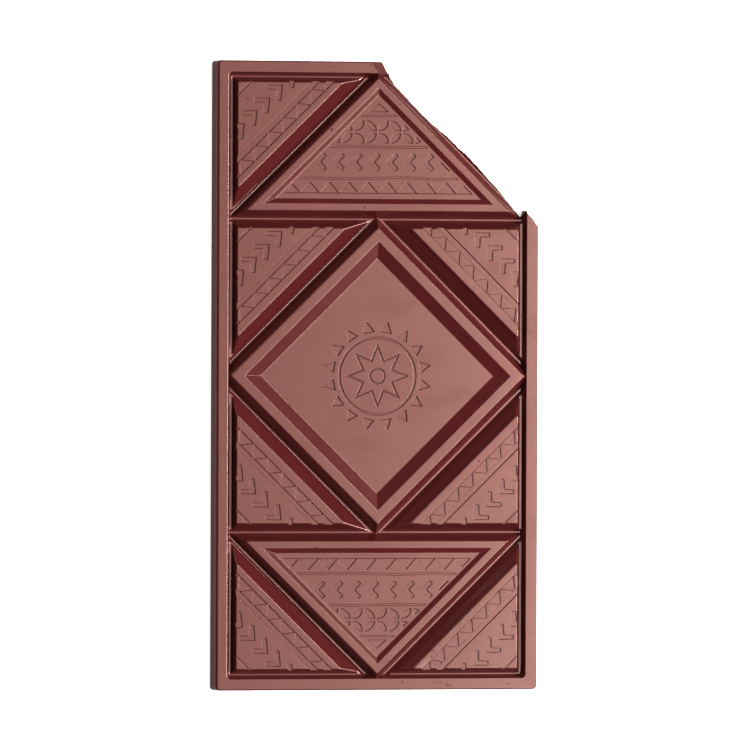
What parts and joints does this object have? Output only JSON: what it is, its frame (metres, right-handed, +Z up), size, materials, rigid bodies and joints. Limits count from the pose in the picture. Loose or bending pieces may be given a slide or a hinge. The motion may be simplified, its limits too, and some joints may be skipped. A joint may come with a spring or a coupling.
{
  "type": "chocolate bar",
  "caption": "Moulded dark chocolate bar with a raised border, patterned triangular panels and a central diamond, lying flat with one corner snapped off.",
  "frame": {"origin": "on the surface that the bar lies on, under the middle of its box", "axes": "+Y along the bar's length, towards the broken end; +X across the bar, towards the side with the broken corner; +Z up out of the patterned face"},
  "size_m": [0.079, 0.1502, 0.0055],
  "materials": {
    "dark_chocolate": "tempered dark chocolate: reddish brown, smooth and softly glossy on the moulded faces, matt and grainy where it is broken"
  },
  "bodies": {
    "root": {"chocolate_bar": "dark_chocolate"}
  },
  "joints": []
}
